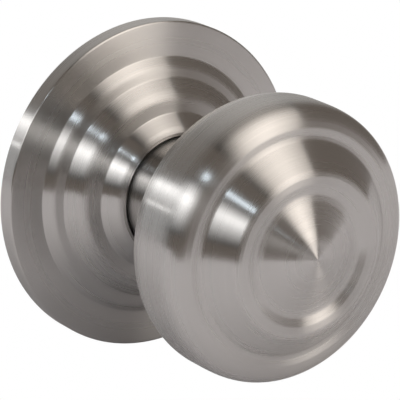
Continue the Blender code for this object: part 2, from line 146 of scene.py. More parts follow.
def rounded(corners, radii, spacing=0.12 * MM):
    """Dense points along a line whose corners are rounded.

    Each corner of the (radius, depth) polyline is replaced by the circular arc of the given radius that
    touches both of its sides, shortened where a side has no room, and the straight stretches between
    the arcs are filled with evenly spaced points.
    """
    corners = np.asarray(corners, float)
    points = [corners[0]]
    for before, corner, after, radius in zip(corners, corners[1:], corners[2:], radii):
        to_before = before - corner
        to_after = after - corner
        length_before, length_after = np.linalg.norm(to_before), np.linalg.norm(to_after)
        to_before /= length_before
        to_after /= length_after
        half = math.acos(np.clip(to_before @ to_after, -1, 1)) / 2
        reach = min(radius / math.tan(half), 0.49 * length_before, 0.49 * length_after)
        arc_radius = reach * math.tan(half)
        bisector = (to_before + to_after) / np.linalg.norm(to_before + to_after)
        centre = corner + bisector * (arc_radius / math.sin(half))
        start = corner + to_before * reach - centre
        end = corner + to_after * reach - centre
        sweep = math.pi - 2 * half
        count = max(4, int(arc_radius * sweep / spacing) + 3)
        share = np.linspace(0, 1, count)[:, None]
        arc = (np.sin((1 - share) * sweep) * start + np.sin(share * sweep) * end) / math.sin(sweep)
        points.append(centre + arc)
    points.append(corners[-1])
    line = np.vstack(points)
    steps = np.linalg.norm(np.diff(line, axis=0), axis=1)
    filled = []
    for a, b, step in zip(line, line[1:], steps):
        pieces = max(1, int(step / (6 * spacing)))
        filled.append(a + (b - a) * np.arange(pieces)[:, None] / pieces)
    filled.append(line[-1:])
    return np.vstack(filled)


def offset(line, distance):
    """The line moved sideways: each point goes along its own normal, which is its tangent turned a quarter."""
    tangent = np.gradient(line, axis=0)
    tangent /= np.linalg.norm(tangent, axis=1, keepdims=True)
    normal = np.stack([-tangent[:, 1], tangent[:, 0]], axis=1)
    return line + distance * normal


def mesh_piece(name, verts, faces, smooth_angle=30):
    """Mesh object of the points and faces, smooth except at edges sharper than the angle."""
    mesh = bpy.data.meshes.new(name)
    mesh.from_pydata(verts.tolist(), [], faces)
    mesh.shade_smooth()
    mesh.set_sharp_from_angle(angle=math.radians(smooth_angle))
    piece = bpy.data.objects.new(name, mesh)
    bpy.context.scene.collection.objects.link(piece)
    return piece


def surface(name, radius, depth, angles=None, poles=(), place=None, smooth_angle=30):
    """Closed surface round an axis: point (u, v) is (r(u, v) cos v, -depth(u, v), r(u, v) sin v).

    The rows u follow an outline and the columns v go round the axis, evenly unless angles are given.
    With two poles, given as depths, the first and last rows close on the axis; otherwise the last row
    joins the first, as in a ring. A place is a function that carries the points elsewhere.
    The outline's signed area, the sum of r * next depth - next r * depth, says which way faces are wound.
    """
    radius, depth = np.broadcast_arrays(radius, depth)
    rows, columns = radius.shape
    if angles is None:
        angles = np.linspace(0, 2 * np.pi, columns, endpoint=False)
    verts = np.stack([radius * np.cos(angles), -depth, radius * np.sin(angles)], axis=-1).reshape(-1, 3)
    row = np.arange(rows - 1 if poles else rows)[:, None] * columns
    column = np.arange(columns)
    next_row = (row + columns) % (rows * columns)
    following = (column + 1) % columns
    quads = np.stack([row + column, next_row + column, next_row + following, row + following], axis=-1)
    outline = np.stack([radius[:, 0], depth[:, 0]], axis=1)
    if poles:
        outline = np.vstack([[[0, poles[0]]], outline, [[0, poles[1]]]])
    after = np.roll(outline, -1, axis=0)
    clockwise = np.sum(outline[:, 0] * after[:, 1] - after[:, 0] * outline[:, 1]) > 0
    facing = -1 if clockwise else 1
    faces = quads.reshape(-1, 4)[:, ::facing].tolist()
    if poles:
        verts = np.vstack([verts, [[0, -pole, 0] for pole in poles]])
        first, last = rows * columns, rows * columns + 1
        final = (rows - 1) * columns
        start = np.stack([np.full(columns, first), column, following], axis=1)
        end = np.stack([final + column, np.full(columns, last), final + following], axis=1)
        faces += start[:, ::facing].tolist() + end[:, ::facing].tolist()
    if place is not None:
        verts = place(verts)
    return mesh_piece(name, verts, faces, smooth_angle)


def turned(name, outline, facets, place=None, smooth_angle=30):
    """Surface of revolution of a (radius, depth) outline, a closed loop or a line from axis to axis."""
    outline = np.asarray(outline, float)
    poles = ()
    if outline[0, 0] < 1e-9 and outline[-1, 0] < 1e-9:
        poles = (outline[0, 1], outline[-1, 1])
        outline = outline[1:-1]
    full = np.ones((1, facets))
    return surface(name, outline[:, :1] * full, outline[:, 1:] * full, None, poles, place, smooth_angle)


def swept(name, sections, smooth_angle=40):
    """Solid through a row of closed sections, an array (along, round, 3), with a flat cap at each end."""
    along, around, _ = sections.shape
    row = np.arange(along - 1)[:, None] * around
    column = np.arange(around)
    following = (column + 1) % around
    quads = np.stack([row + column, row + following, row + around + following, row + around + column], axis=-1)
    faces = quads.reshape(-1, 4).tolist()
    faces += [column[::-1].tolist(), ((along - 1) * around + column).tolist()]
    piece = mesh_piece(name, sections.reshape(-1, 3), faces, smooth_angle)
    repair = bmesh.new()
    repair.from_mesh(piece.data)
    bmesh.ops.recalc_face_normals(repair, faces=repair.faces)
    repair.to_mesh(piece.data)
    repair.free()
    return piece


def polygon(angles, sides, apothem, first=0.0):
    """Distance from the centre to a regular polygon: apothem / cos(angle to the nearest flat's middle)."""
    step = 2 * np.pi / sides
    return apothem / np.cos((angles - first + step / 2) % step - step / 2)


def shifted(x, z):
    """Function that carries points along X and Z."""
    return lambda verts: verts + np.array([x, 0, z])


def ring_outline(bore, radius, back, front, soft=0.15 * MM):
    """Rectangle section of a flat ring with small rounded edges."""
    middle = (bore + radius) / 2
    corners = [(middle, back), (radius, back), (radius, front), (bore, front), (bore, back), (middle, back)]
    return rounded(corners, [soft] * 4, 0.08 * MM)[:-1]


def cut(piece, tool):
    """Take the tool's shape out of the piece and keep the result as the piece's own mesh."""
    modifier = piece.modifiers.new("cut", "BOOLEAN")
    modifier.operation = "DIFFERENCE"
    modifier.solver = "EXACT"
    modifier.object = tool
    bpy.context.view_layer.update()
    result = bpy.data.meshes.new_from_object(piece.evaluated_get(bpy.context.evaluated_depsgraph_get()))
    piece.modifiers.clear()
    piece.data = result
    result.set_sharp_from_angle(angle=math.radians(30))
    bpy.data.objects.remove(tool, do_unlink=True)


# ---------------------------------------------------------------- outlines of the visible pieces

def rose_line(sizes):
    """Outer line of the rose from its back edge over the rim and three steps to the neck hole."""
    rim = 3.57 * MM
    corners = [
        (ROSE_RADIUS, 0.0), (ROSE_RADIUS, rim), (33.0 * MM, rim + 0.08 * MM), (26.3 * MM, 3.92 * MM),
        (24.7 * MM, 5.30 * MM), (22.5 * MM, 5.8 * MM), (19.8 * MM, 8.72 * MM), (16.2 * MM, 9.33 * MM),
        (14.0 * MM, 12.0 * MM), (13.0 * MM, ROSE_DEPTH), (12.35 * MM, ROSE_DEPTH), (12.35 * MM, ROSE_DEPTH - 1 * MM),
    ]
    soft = sizes.edge_round
    radii = [soft * 0.7, soft, soft * 1.2, soft * 7, soft * 1.5, soft * 9, soft * 1.5, soft * 6, soft, soft * 0.6]
    return rounded(corners, radii)


def superellipse(half_length, exponent, radius_from, radius_to, count):
    """Points with |radius / widest|^n + |depth from the widest place / half length|^n = 1."""
    start = math.acos(min(1.0, radius_from / KNOB_RADIUS) ** (exponent / 2))
    end = math.acos(min(1.0, radius_to / KNOB_RADIUS) ** (exponent / 2))
    angle = np.linspace(start, end, count)
    radius = KNOB_RADIUS * np.cos(angle) ** (2 / exponent)
    depth = WIDEST_DEPTH + half_length * np.sin(angle) ** (2 / exponent)
    return np.stack([radius, depth], axis=1)


WIDEST_DEPTH = KNOB_TIP_DEPTH - 17.65 * MM
BACK_LENGTH, BACK_EXPONENT = 17.0 * MM, 1.774
FRONT_LENGTH, FRONT_EXPONENT = 11.2 * MM, 5.8
SEAM_RADIUS = 21.9 * MM
SEAM_GAP = 0.1 * MM
SHOULDER_END_RADIUS = 24.9 * MM


def back_line(radius_from, radius_to, count):
    line = superellipse(BACK_LENGTH, BACK_EXPONENT, radius_from, radius_to, count)
    line[:, 1] = 2 * WIDEST_DEPTH - line[:, 1]
    return line


def face_line(sizes):
    """The turned face: shallow groove, riser, raised ring, shallow valley and central cone."""
    corners = [
        (SHOULDER_END_RADIUS, 49.97 * MM), (24.4 * MM, 50.16 * MM), (23.2 * MM, 50.50 * MM), (21.8 * MM, 50.40 * MM),
        (20.9 * MM, 50.56 * MM),
        (16.2 * MM, 54.97 * MM), (15.2 * MM, 55.22 * MM), (13.8 * MM, 55.16 * MM), (11.9 * MM, 54.62 * MM),
        (10.4 * MM, 54.92 * MM), (4.0 * MM, 57.34 * MM), (0.0, KNOB_TIP_DEPTH),
    ]
    soft = sizes.edge_round
    shares = (2, 4, 3, 3, 7, 3, 4, 5, 8, 20)
    return rounded(corners, [soft * share for share in shares])


def front_shell_outline(sizes):
    rear = back_line(SEAM_RADIUS + SEAM_GAP / 2, KNOB_RADIUS, 36)
    shoulder = superellipse(FRONT_LENGTH, FRONT_EXPONENT, KNOB_RADIUS, SHOULDER_END_RADIUS, 60)[1:]
    outer = np.vstack([rear, shoulder, face_line(sizes)[1:]])
    inner = offset(outer, sizes.wall)[:-1:6]
    inner = inner[inner[:, 0] > 1 * MM]
    inner_tip = np.array([[0.0, KNOB_TIP_DEPTH - 1.2 * sizes.wall]])
    return np.vstack([inner_tip, inner[::-1], outer])


def back_shell_outline(sizes):
    """Rear half of the head: over the bulge from its hole to the seam, and back inside to a thick seat."""
    hole = 9.6 * MM
    seat_radius, seat_depth = 13.8 * MM, 27.5 * MM
    outer = back_line(SHANK_RADIUS - 0.2 * MM, SEAM_RADIUS - SEAM_GAP / 2, 70)[::-1]
    inner = offset(outer, -sizes.wall)[::3]
    inner = inner[inner[:, 0] > seat_radius + 0.5 * MM]
    start = [(hole, outer[-1, 1])]
    finish = [(seat_radius, seat_depth), (hole, seat_depth)]
    return np.vstack([start, outer[::-1], inner, finish])


# ---------------------------------------------------------------- finishes

def new_material(name):
    material = bpy.data.materials.new(name)
    material.use_nodes = True
    nodes = material.node_tree.nodes
    nodes.clear()
    output = nodes.new("ShaderNodeOutputMaterial")
    shader = nodes.new("ShaderNodeBsdfPrincipled")
    material.node_tree.links.new(shader.outputs["BSDF"], output.inputs["Surface"])
    return material, shader


def math_node(nodes, links, operation, a, b=None):
    node = nodes.new("ShaderNodeMath")
    node.operation = operation
    for socket, value in zip(node.inputs, (a, b)):
        if value is None:
            continue
        if isinstance(value, (int, float)):
            socket.default_value = value
        else:
            links.new(value, socket)
    return node.outputs[0]


def ring_grain_group():
    """Fine rings left by brushing a spinning piece: noise stretched along the turning direction."""
    group = bpy.data.node_groups.get("ring_grain")
    if group:
        return group
    group = bpy.data.node_groups.new("ring_grain", "ShaderNodeTree")
    socket = group.interface.new_socket
    socket(name="Rings per metre", in_out="INPUT", socket_type="NodeSocketFloat").default_value = 4200
    socket(name="Breaks round", in_out="INPUT", socket_type="NodeSocketFloat").default_value = 1.3
    socket(name="Grain", in_out="OUTPUT", socket_type="NodeSocketFloat")
    socket(name="Bands", in_out="OUTPUT", socket_type="NodeSocketFloat")
    nodes, links = group.nodes, group.links
    inputs = nodes.new("NodeGroupInput")
    outputs = nodes.new("NodeGroupOutput")
    coordinates = nodes.new("ShaderNodeTexCoord")
    split = nodes.new("ShaderNodeSeparateXYZ")
    links.new(coordinates.outputs["Object"], split.inputs[0])
    x, y, z = split.outputs
    flat = nodes.new("ShaderNodeCombineXYZ")
    links.new(x, flat.inputs[0])
    links.new(z, flat.inputs[2])
    length = nodes.new("ShaderNodeVectorMath")
    length.operation = "LENGTH"
    links.new(flat.outputs[0], length.inputs[0])
    turn = nodes.new("ShaderNodeVectorMath")
    turn.operation = "NORMALIZE"
    links.new(flat.outputs[0], turn.inputs[0])
    turn_split = nodes.new("ShaderNodeSeparateXYZ")
    links.new(turn.outputs[0], turn_split.inputs[0])
    rings, breaks = inputs.outputs["Rings per metre"], inputs.outputs["Breaks round"]
    place = nodes.new("ShaderNodeCombineXYZ")
    links.new(math_node(nodes, links, "MULTIPLY", length.outputs["Value"], rings), place.inputs[0])
    links.new(math_node(nodes, links, "MULTIPLY", y, rings), place.inputs[1])
    links.new(math_node(nodes, links, "MULTIPLY", turn_split.outputs[0], breaks), place.inputs[2])
    grain = nodes.new("ShaderNodeTexNoise")
    grain.noise_dimensions = "4D"
    grain.inputs["Scale"].default_value = 1.0
    grain.inputs["Detail"].default_value = 1.0
    grain.inputs["Roughness"].default_value = 0.5
    links.new(place.outputs[0], grain.inputs["Vector"])
    links.new(math_node(nodes, links, "MULTIPLY", turn_split.outputs[2], breaks), grain.inputs["W"])
    links.new(grain.outputs["Fac"], outputs.inputs["Grain"])
    bands = nodes.new("ShaderNodeTexNoise")
    bands.inputs["Scale"].default_value = 0.16
    bands.inputs["Detail"].default_value = 3.0
    links.new(place.outputs[0], bands.inputs["Vector"])
    links.new(bands.outputs["Fac"], outputs.inputs["Bands"])
    return group


def link_turning_tangent(nodes, links, shader):
    """Point the shader's tangent round the knob's axis: the cross product of the axis and the place."""
    coordinates = nodes.new("ShaderNodeTexCoord")
    cross = nodes.new("ShaderNodeVectorMath")
    cross.operation = "CROSS_PRODUCT"
    cross.inputs[0].default_value = (0, 1, 0)
    links.new(coordinates.outputs["Object"], cross.inputs[1])
    unit = nodes.new("ShaderNodeVectorMath")
    unit.operation = "NORMALIZE"
    links.new(cross.outputs[0], unit.inputs[0])
    to_world = nodes.new("ShaderNodeVectorTransform")
    to_world.vector_type = "VECTOR"
    to_world.convert_from = "OBJECT"
    to_world.convert_to = "WORLD"
    links.new(unit.outputs[0], to_world.inputs[0])
    links.new(to_world.outputs[0], shader.inputs["Tangent"])


def varied_colour(nodes, links, factor, colour, spread):
    """Colour ramp from a little darker to a little lighter than the given colour."""
    ramp = nodes.new("ShaderNodeValToRGB")
    low, high = ramp.color_ramp.elements
    low.position, high.position = 0.3, 0.7
    low.color = (*[channel * (1 - spread) for channel in colour], 1)
    high.color = (*[min(1.0, channel * (1 + spread)) for channel in colour], 1)
    links.new(factor, ramp.inputs["Fac"])
    return ramp.outputs["Color"]


def ranged(nodes, links, factor, low, high):
    node = nodes.new("ShaderNodeMapRange")
    node.inputs["From Min"].default_value = 0.3
    node.inputs["From Max"].default_value = 0.7
    node.inputs["To Min"].default_value = low
    node.inputs["To Max"].default_value = high
    links.new(factor, node.inputs["Value"])
    return node.outputs["Result"]


def brushed_steel(name, colour, roughness, anisotropy, rings=4200, bump=0.0045):
    material, shader = new_material(name)
    nodes, links = material.node_tree.nodes, material.node_tree.links
    grain = nodes.new("ShaderNodeGroup")
    grain.node_tree = ring_grain_group()
    grain.inputs["Rings per metre"].default_value = rings
    shader.inputs["Metallic"].default_value = 1.0
    shader.inputs["Anisotropic"].default_value = anisotropy
    shader.inputs["Anisotropic Rotation"].default_value = 0.25
    links.new(varied_colour(nodes, links, grain.outputs["Grain"], colour, 0.02), shader.inputs["Base Color"])
    links.new(ranged(nodes, links, grain.outputs["Bands"], roughness * 0.96, roughness * 1.04),
              shader.inputs["Roughness"])
    height = nodes.new("ShaderNodeBump")
    height.inputs["Strength"].default_value = bump
    height.inputs["Distance"].default_value = 0.0001
    links.new(grain.outputs["Grain"], height.inputs["Height"])
    links.new(height.outputs["Normal"], shader.inputs["Normal"])
    link_turning_tangent(nodes, links, shader)
    return material


def mottle_group():
    """Uneven surface of a casting or a plated part: a soft cloud, a fine speckle and a few small pits."""
    group = bpy.data.node_groups.get("mottle")
    if group:
        return group
    group = bpy.data.node_groups.new("mottle", "ShaderNodeTree")
    socket = group.interface.new_socket
    socket(name="Cloud size", in_out="INPUT", socket_type="NodeSocketFloat").default_value = 180
    socket(name="Speckle size", in_out="INPUT", socket_type="NodeSocketFloat").default_value = 3500
    socket(name="Streak", in_out="INPUT", socket_type="NodeSocketFloat").default_value = 1
    for name in ("Cloud", "Speckle", "Pits"):
        socket(name=name, in_out="OUTPUT", socket_type="NodeSocketFloat")
    nodes, links = group.nodes, group.links
    inputs, outputs = nodes.new("NodeGroupInput"), nodes.new("NodeGroupOutput")
    coordinates = nodes.new("ShaderNodeTexCoord")
    split, place = nodes.new("ShaderNodeSeparateXYZ"), nodes.new("ShaderNodeCombineXYZ")
    links.new(coordinates.outputs["Object"], split.inputs[0])
    links.new(split.outputs["X"], place.inputs["X"])
    links.new(split.outputs["Z"], place.inputs["Z"])
    links.new(math_node(nodes, links, "MULTIPLY", split.outputs["Y"], inputs.outputs["Streak"]), place.inputs["Y"])
    for name, size, detail in (("Cloud", "Cloud size", 4), ("Speckle", "Speckle size", 2)):
        noise = nodes.new("ShaderNodeTexNoise")
        noise.inputs["Detail"].default_value = detail
        links.new(place.outputs[0], noise.inputs["Vector"])
        links.new(inputs.outputs[size], noise.inputs["Scale"])
        links.new(noise.outputs["Fac"], outputs.inputs[name])
    cells = nodes.new("ShaderNodeTexVoronoi")
    links.new(place.outputs[0], cells.inputs["Vector"])
    links.new(math_node(nodes, links, "MULTIPLY", inputs.outputs["Speckle size"], 0.25), cells.inputs["Scale"])
    pit = nodes.new("ShaderNodeMapRange")
    pit.inputs["From Min"].default_value = 0.0
    pit.inputs["From Max"].default_value = 0.22
    links.new(cells.outputs["Distance"], pit.inputs["Value"])
    links.new(pit.outputs["Result"], outputs.inputs["Pits"])
    return group


def mottled(name, colour, spread, metallic, roughness, bump, cloud_size=180, speckle_size=3500,
            second=None, streak=1):
    """Material with clouded colour and roughness and a speckled, slightly pitted surface."""
    existing = bpy.data.materials.get(name)
    if existing:
        return existing
    material, shader = new_material(name)
    nodes, links = material.node_tree.nodes, material.node_tree.links
    mottle = nodes.new("ShaderNodeGroup")
    mottle.node_tree = mottle_group()
    mottle.inputs["Cloud size"].default_value = cloud_size
    mottle.inputs["Speckle size"].default_value = speckle_size
    mottle.inputs["Streak"].default_value = streak
    shader.inputs["Metallic"].default_value = metallic
    tint = varied_colour(nodes, links, mottle.outputs["Cloud"], colour, spread)
    if second is not None:
        blend = nodes.new("ShaderNodeMix")
        blend.data_type = "RGBA"
        blend.inputs["B"].default_value = (*second, 1)
        links.new(tint, blend.inputs["A"])
        links.new(ranged(nodes, links, mottle.outputs["Cloud"], 0.0, 0.55), blend.inputs["Factor"])
        tint = blend.outputs["Result"]
    links.new(tint, shader.inputs["Base Color"])
    links.new(ranged(nodes, links, mottle.outputs["Speckle"], roughness * 0.8, roughness * 1.2),
              shader.inputs["Roughness"])
    height = nodes.new("ShaderNodeBump")
    height.inputs["Strength"].default_value = bump
    height.inputs["Distance"].default_value = 0.0001
    relief = math_node(nodes, links, "MULTIPLY", mottle.outputs["Speckle"], mottle.outputs["Pits"])
    links.new(relief, height.inputs["Height"])
    links.new(height.outputs["Normal"], shader.inputs["Normal"])
    return material


def zinc_casting():
    """Dull grey cast zinc."""
    return mottled("cast_zinc", (0.50, 0.51, 0.53), 0.14, 1.0, 0.48, 0.5)


def plated_steel():
    """Pale yellowish plating on steel."""
    return mottled("zinc_plating", (0.68, 0.67, 0.60), 0.10, 1.0, 0.30, 0.12, 260, 6000, (0.72, 0.66, 0.48))


def drawn_steel():
    """Plain drawn bar with a faint lengthwise streak."""
    return mottled("drawn_bar", (0.62, 0.615, 0.61), 0.10, 1.0, 0.32, 0.08, 420, 5000, (0.67, 0.65, 0.61), 0.06)


def spring_steel():
    """Dark hardened spring steel."""
    return mottled("blued_spring_steel", (0.27, 0.27, 0.30), 0.18, 1.0, 0.32, 0.15, 700, 9000)


def nylon():
    """Natural nylon, slightly cream."""
    return mottled("natural_nylon", (0.82, 0.80, 0.74), 0.04, 0.0, 0.45, 0.10, 150, 5000)


def black_oxide():
    """Oiled black finish of the set screw."""
    return mottled("oiled_black_oxide", (0.045, 0.045, 0.05), 0.25, 1.0, 0.42, 0.20, 900, 9000)


def satin(settings):
    """The brushed finish of all the visible turned pieces, from the user's settings."""
    existing = bpy.data.materials.get("satin_rings")
    if existing:
        return existing
    return brushed_steel("satin_rings", tuple(settings.steel_colour), settings.grain_spread, settings.grain_direction)


# ---------------------------------------------------------------- pieces and their operators

def dress(piece, material):
    """Give the piece this material and no other."""
    piece.data.materials.clear()
    piece.data.materials.append(material)
    return piece


def finish_piece(piece, material, body, node):
    """Give a new piece its material, parent it to its body's empty and hide the CAD node that it replaces."""
    dress(piece, material)
    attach(piece, body)
    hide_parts(node)


class DOORKNOB_OT_knob_head(bpy.types.Operator):
    """Build the two pressed shells of the knob head"""
    bl_idname = "doorknob.knob_head"
    bl_label = "Knob Head"

    def execute(self, context):
        sizes = context.scene.knob_sizes
        finish = context.scene.knob_finish
        front = turned("front_shell_turned", front_shell_outline(sizes), sizes.facets)
        finish_piece(front, satin(finish), "knob", "knob_front_shell")
        back = turned("back_shell_pressed", back_shell_outline(sizes), sizes.facets)
        finish_piece(back, satin(finish), "knob", "knob_back_shell")
        return {"FINISHED"}


def make_shank_piece():
    """Turned shank: a stepped outline outside and a square broached hole from end to end."""
    corners = [
        (6.5 * MM, SPIGOT_END), (9.5 * MM, SPIGOT_END), (9.5 * MM, SHANK_FRONT), (SHANK_RADIUS, SHANK_FRONT),
        (SHANK_RADIUS, 10.0 * MM), (8.0 * MM, 10.0 * MM), (8.0 * MM, 5.6 * MM), (7.3 * MM, 5.6 * MM),
        (7.3 * MM, 4.2 * MM), (8.0 * MM, 4.2 * MM), (8.0 * MM, SHANK_BACK), (6.5 * MM, SHANK_BACK),
    ]
    fine, soft = 0.06 * MM, 0.3 * MM
    outer = rounded(corners, [soft, fine, soft, soft, fine, fine, fine, fine, fine, 2 * fine])
    angles = np.linspace(0, 2 * np.pi, 192, endpoint=False)
    bore_depth = np.linspace(SHANK_BACK, SPIGOT_END, 12)
    flare = np.where((bore_depth == SHANK_BACK) | (bore_depth == SPIGOT_END), 0.3 * MM, 0.0)
    bore = polygon(angles, 4, SPINDLE_HALF + 0.3 * MM)[None, :] + flare[:, None]
    radius = np.vstack([outer[:, :1] * np.ones((1, 192)), bore])
    depth = np.vstack([outer[:, 1:] * np.ones((1, 192)), bore_depth[:, None] * np.ones((1, 192))])
    shank = surface("shank_turned", radius, depth, angles)
    hole = [(0.0, 3 * MM), (3 * MM, 3 * MM), (3 * MM, 11.6 * MM), (3.4 * MM, 12.2 * MM), (3.4 * MM, 14 * MM),
            (0.0, 14 * MM)]
    cut(shank, turned("grub_drill", hole, 64, downwards))
    return shank


def downwards(verts):
    """Carry a piece that points out along -Y to the set screw's place, pointing straight down."""
    return np.stack([verts[:, 0], -GRUB_DEPTH - verts[:, 2], verts[:, 1]], axis=1)


def make_set_screw():
    """Threaded screw with a hexagon socket: radius = root + ridge(depth / pitch - angle / turn)."""
    angles = np.linspace(0, 2 * np.pi, 96, endpoint=False)
    top, bottom, socket_floor = 10.9 * MM, 4.3 * MM, 8.4 * MM
    socket = polygon(angles, 6, 1.5 * MM)
    body = np.linspace(top, bottom, 70)
    turn = (body[:, None] / (0.8 * MM) - angles / (2 * np.pi)) % 1
    ridge = 2.4 * MM + 0.3 * MM * (1 - np.abs(2 * turn - 1))
    chamfer = np.minimum(top - body, body - bottom)[:, None]
    ridge = np.minimum(ridge, 2.1 * MM + chamfer)
    full = np.ones((1, 96))
    radius = np.vstack([0.5 * socket, socket, socket, socket + 0.08 * MM, ridge, 1.0 * MM * full])
    depth = np.vstack([full * socket_floor, full * socket_floor, full * (top - 0.08 * MM), full * top,
                       body[:, None] * full, full * bottom])
    return surface("set_screw_threaded", radius, depth, angles, (socket_floor, bottom), downwards)


class DOORKNOB_OT_shank(bpy.types.Operator):
    """Build the turned shank and its set screw"""
    bl_idname = "doorknob.shank"
    bl_label = "Shank"

    def execute(self, context):
        finish_piece(make_shank_piece(), satin(context.scene.knob_finish), "knob", "knob_shank")
        finish_piece(make_set_screw(), black_oxide(), "knob", "grub_screw")
        return {"FINISHED"}


class DOORKNOB_OT_rose(bpy.types.Operator):
    """Build the stepped rose cover"""
    bl_idname = "doorknob.rose"
    bl_label = "Rose Cover"

    def execute(self, context):
        sizes = context.scene.knob_sizes
        outer = rose_line(sizes)
        inner = offset(outer, sizes.wall)[2:-12:4]
        start = np.array([[ROSE_RADIUS - sizes.wall, 0.0]])
        outline = np.vstack([outer, inner[::-1], start])
        rose = turned("rose_turned", outline, sizes.facets)
        finish_piece(rose, satin(context.scene.knob_finish), "rose", "rose_cover")
        return {"FINISHED"}


def make_wood_screw(name, x, z):
    """Countersunk wood screw with a cross recess and a helical thread that fades at both ends.

    On the head the depth is the top less the recess, whose mask is a soft cross in x and z. On the body
    the radius is root(depth) + height * ridge(depth / pitch - angle / turn), and the root tapers to a point.
    """
    columns = 96
    angles = np.linspace(0, 2 * np.pi, columns, endpoint=False)
    full = np.ones((1, columns))
    top, head_radius, body_radius, pitch = 2.5 * MM, 3.8 * MM, 1.9 * MM, 1.8 * MM
    tip = -14.0 * MM
    across = np.linspace(0.15 * MM, head_radius - 0.1 * MM, 34)[:, None]
    cross = np.sort(np.abs(np.stack([across * np.cos(angles), across * np.sin(angles)])), axis=0)
    narrow = np.clip((0.55 * MM - cross[0]) / (0.12 * MM), 0, 1)
    short = np.clip((2.15 * MM - cross[1]) / (0.25 * MM), 0, 1)
    head_depth = top - 1.3 * MM * narrow * short
    neck = top - (head_radius - body_radius)
    body = np.linspace(neck, tip + 0.3 * MM, 150)[:, None]
    taper = np.clip((body - tip) / (4.5 * MM), 0, 1)
    root = 1.35 * MM * taper ** 0.8
    start = np.clip((neck - 1.5 * MM - body) / (1.5 * MM), 0, 1)
    turn = (body / pitch - angles / (2 * np.pi)) % 1
    ridge = np.clip(1 - np.abs(2 * turn - 1) / 0.6, 0, 1)
    plain = body_radius - 0.35 * MM * start
    thread = np.where(start < 1, plain, root) * full
    thread = np.maximum(np.minimum(thread, plain), root) * (start < 1) + root * (start >= 1)
    thread = thread + 0.5 * MM * ridge * start * np.clip(taper * 1.6, 0, 1) ** 0.7
    radius = np.vstack([across * full, head_radius * full, thread])
    depth = np.vstack([head_depth, (top - 0.12 * MM) * full, body * full])
    return surface(name, radius, depth, angles, (top - 1.3 * MM, tip), shifted(x, z))


class DOORKNOB_OT_fixings(bpy.types.Operator):
    """Build the three wood screws and the two rivets of the spring cassette"""
    bl_idname = "doorknob.fixings"
    bl_label = "Fixings"

    def execute(self, context):
        for side in ("top", "left", "right"):
            low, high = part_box(f"wood_screw_{side}")
            screw = make_wood_screw(f"wood_screw_{side}_threaded", (low.x + high.x) / 2, (low.z + high.z) / 2)
            finish_piece(screw, plated_steel(), "rose", f"wood_screw_{side}")
        corners = [(0.0, 3.2 * MM), (1.0 * MM, 3.2 * MM), (1.0 * MM, 7.55 * MM), (1.8 * MM, 7.7 * MM),
                   (1.7 * MM, 8.0 * MM), (0.0, 8.15 * MM)]
        outline = rounded(corners, [0.1 * MM, 0.05 * MM, 0.1 * MM, 0.3 * MM], 0.05 * MM)
        for side in ("left", "right"):
            low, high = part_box(f"cassette_rivet_{side}")
            rivet = turned(f"cassette_rivet_{side}_domed", outline, 48, shifted((low.x + high.x) / 2, 0))
            finish_piece(rivet, plated_steel(), "rose", f"cassette_rivet_{side}")
        return {"FINISHED"}


SPRING_CIRCLE = 15.2 * MM
SPRING_DEPTH = 3.7 * MM
STOP_GAP = 11.5             # degrees from the middle of a fixed stop to a spring's end
FINGER_GAP = 10             # degrees from the middle of a cam finger to a spring's end
# The middles of each spring's stop and finger, in degrees round the axis
STOP_AND_FINGER = {"upper_right": (0, 90), "upper_left": (180, 90), "lower_left": (180, 270),
                   "lower_right": (360, 270)}


def make_spring(name, start, end):
    """Compression spring wound round an arc.

    The wire's centre is the arc's point plus the coil radius times (cos turn outwards + sin turn along
    the knob's axis); the wire's own section is a circle in the plane of that vector and its binormal.
    """
    coil, wire, turns = 1.65 * MM, 0.35 * MM, 6
    share = np.linspace(0, 1, turns * 28 + 1)[:, None]
    along = np.radians(start + (end - start) * share)
    turn = 2 * np.pi * turns * share
    outward = np.concatenate([np.cos(along), 0 * along, np.sin(along)], axis=1)
    forward = np.array([[0.0, -1.0, 0.0]])
    middle = SPRING_CIRCLE * outward + SPRING_DEPTH * forward
    spoke = np.cos(turn) * outward + np.sin(turn) * forward
    path = middle + coil * spoke
    tangent = np.gradient(path, axis=0)
    tangent /= np.linalg.norm(tangent, axis=1, keepdims=True)
    side = np.cross(tangent, spoke)
    side /= np.linalg.norm(side, axis=1, keepdims=True)
    around = np.linspace(0, 2 * np.pi, 12, endpoint=False)[None, :, None]
    section = wire * (np.cos(around) * spoke[:, None] + np.sin(around) * side[:, None])
    return swept(name, path[:, None] + section, 60)


def make_snap_ring():
    """Open ring with wider ears: a rounded rectangle section carried round an arc of 316 degrees.

    The section's outer side lies at band radius plus an ear that rises smoothly near each end.
    """
    angle = np.radians(np.linspace(22, 338, 140))
    inner, band, ear = 7.6 * MM, 9.6 * MM, 1.0 * MM
    from_end = np.minimum(angle - angle[0], angle[-1] - angle)
    outer = band + ear * np.clip((math.radians(15) - from_end) / math.radians(3), 0, 1)
    back, front, soft = 4.5 * MM, 5.3 * MM, 0.1 * MM
    depth = np.array([back, back, back + soft, front - soft, front, front, front - soft, back + soft])
    out = np.array([0, 1, 1, 1, 1, 0, 0, 0])
    inset = np.array([soft, -soft, 0, 0, -soft, soft, 0, 0])
    radius = np.where(out == 1, outer[:, None], inner) + inset
    points = np.stack([radius * np.cos(angle)[:, None], -depth + 0 * radius, radius * np.sin(angle)[:, None]], -1)
    return swept("snap_ring_eared", points)


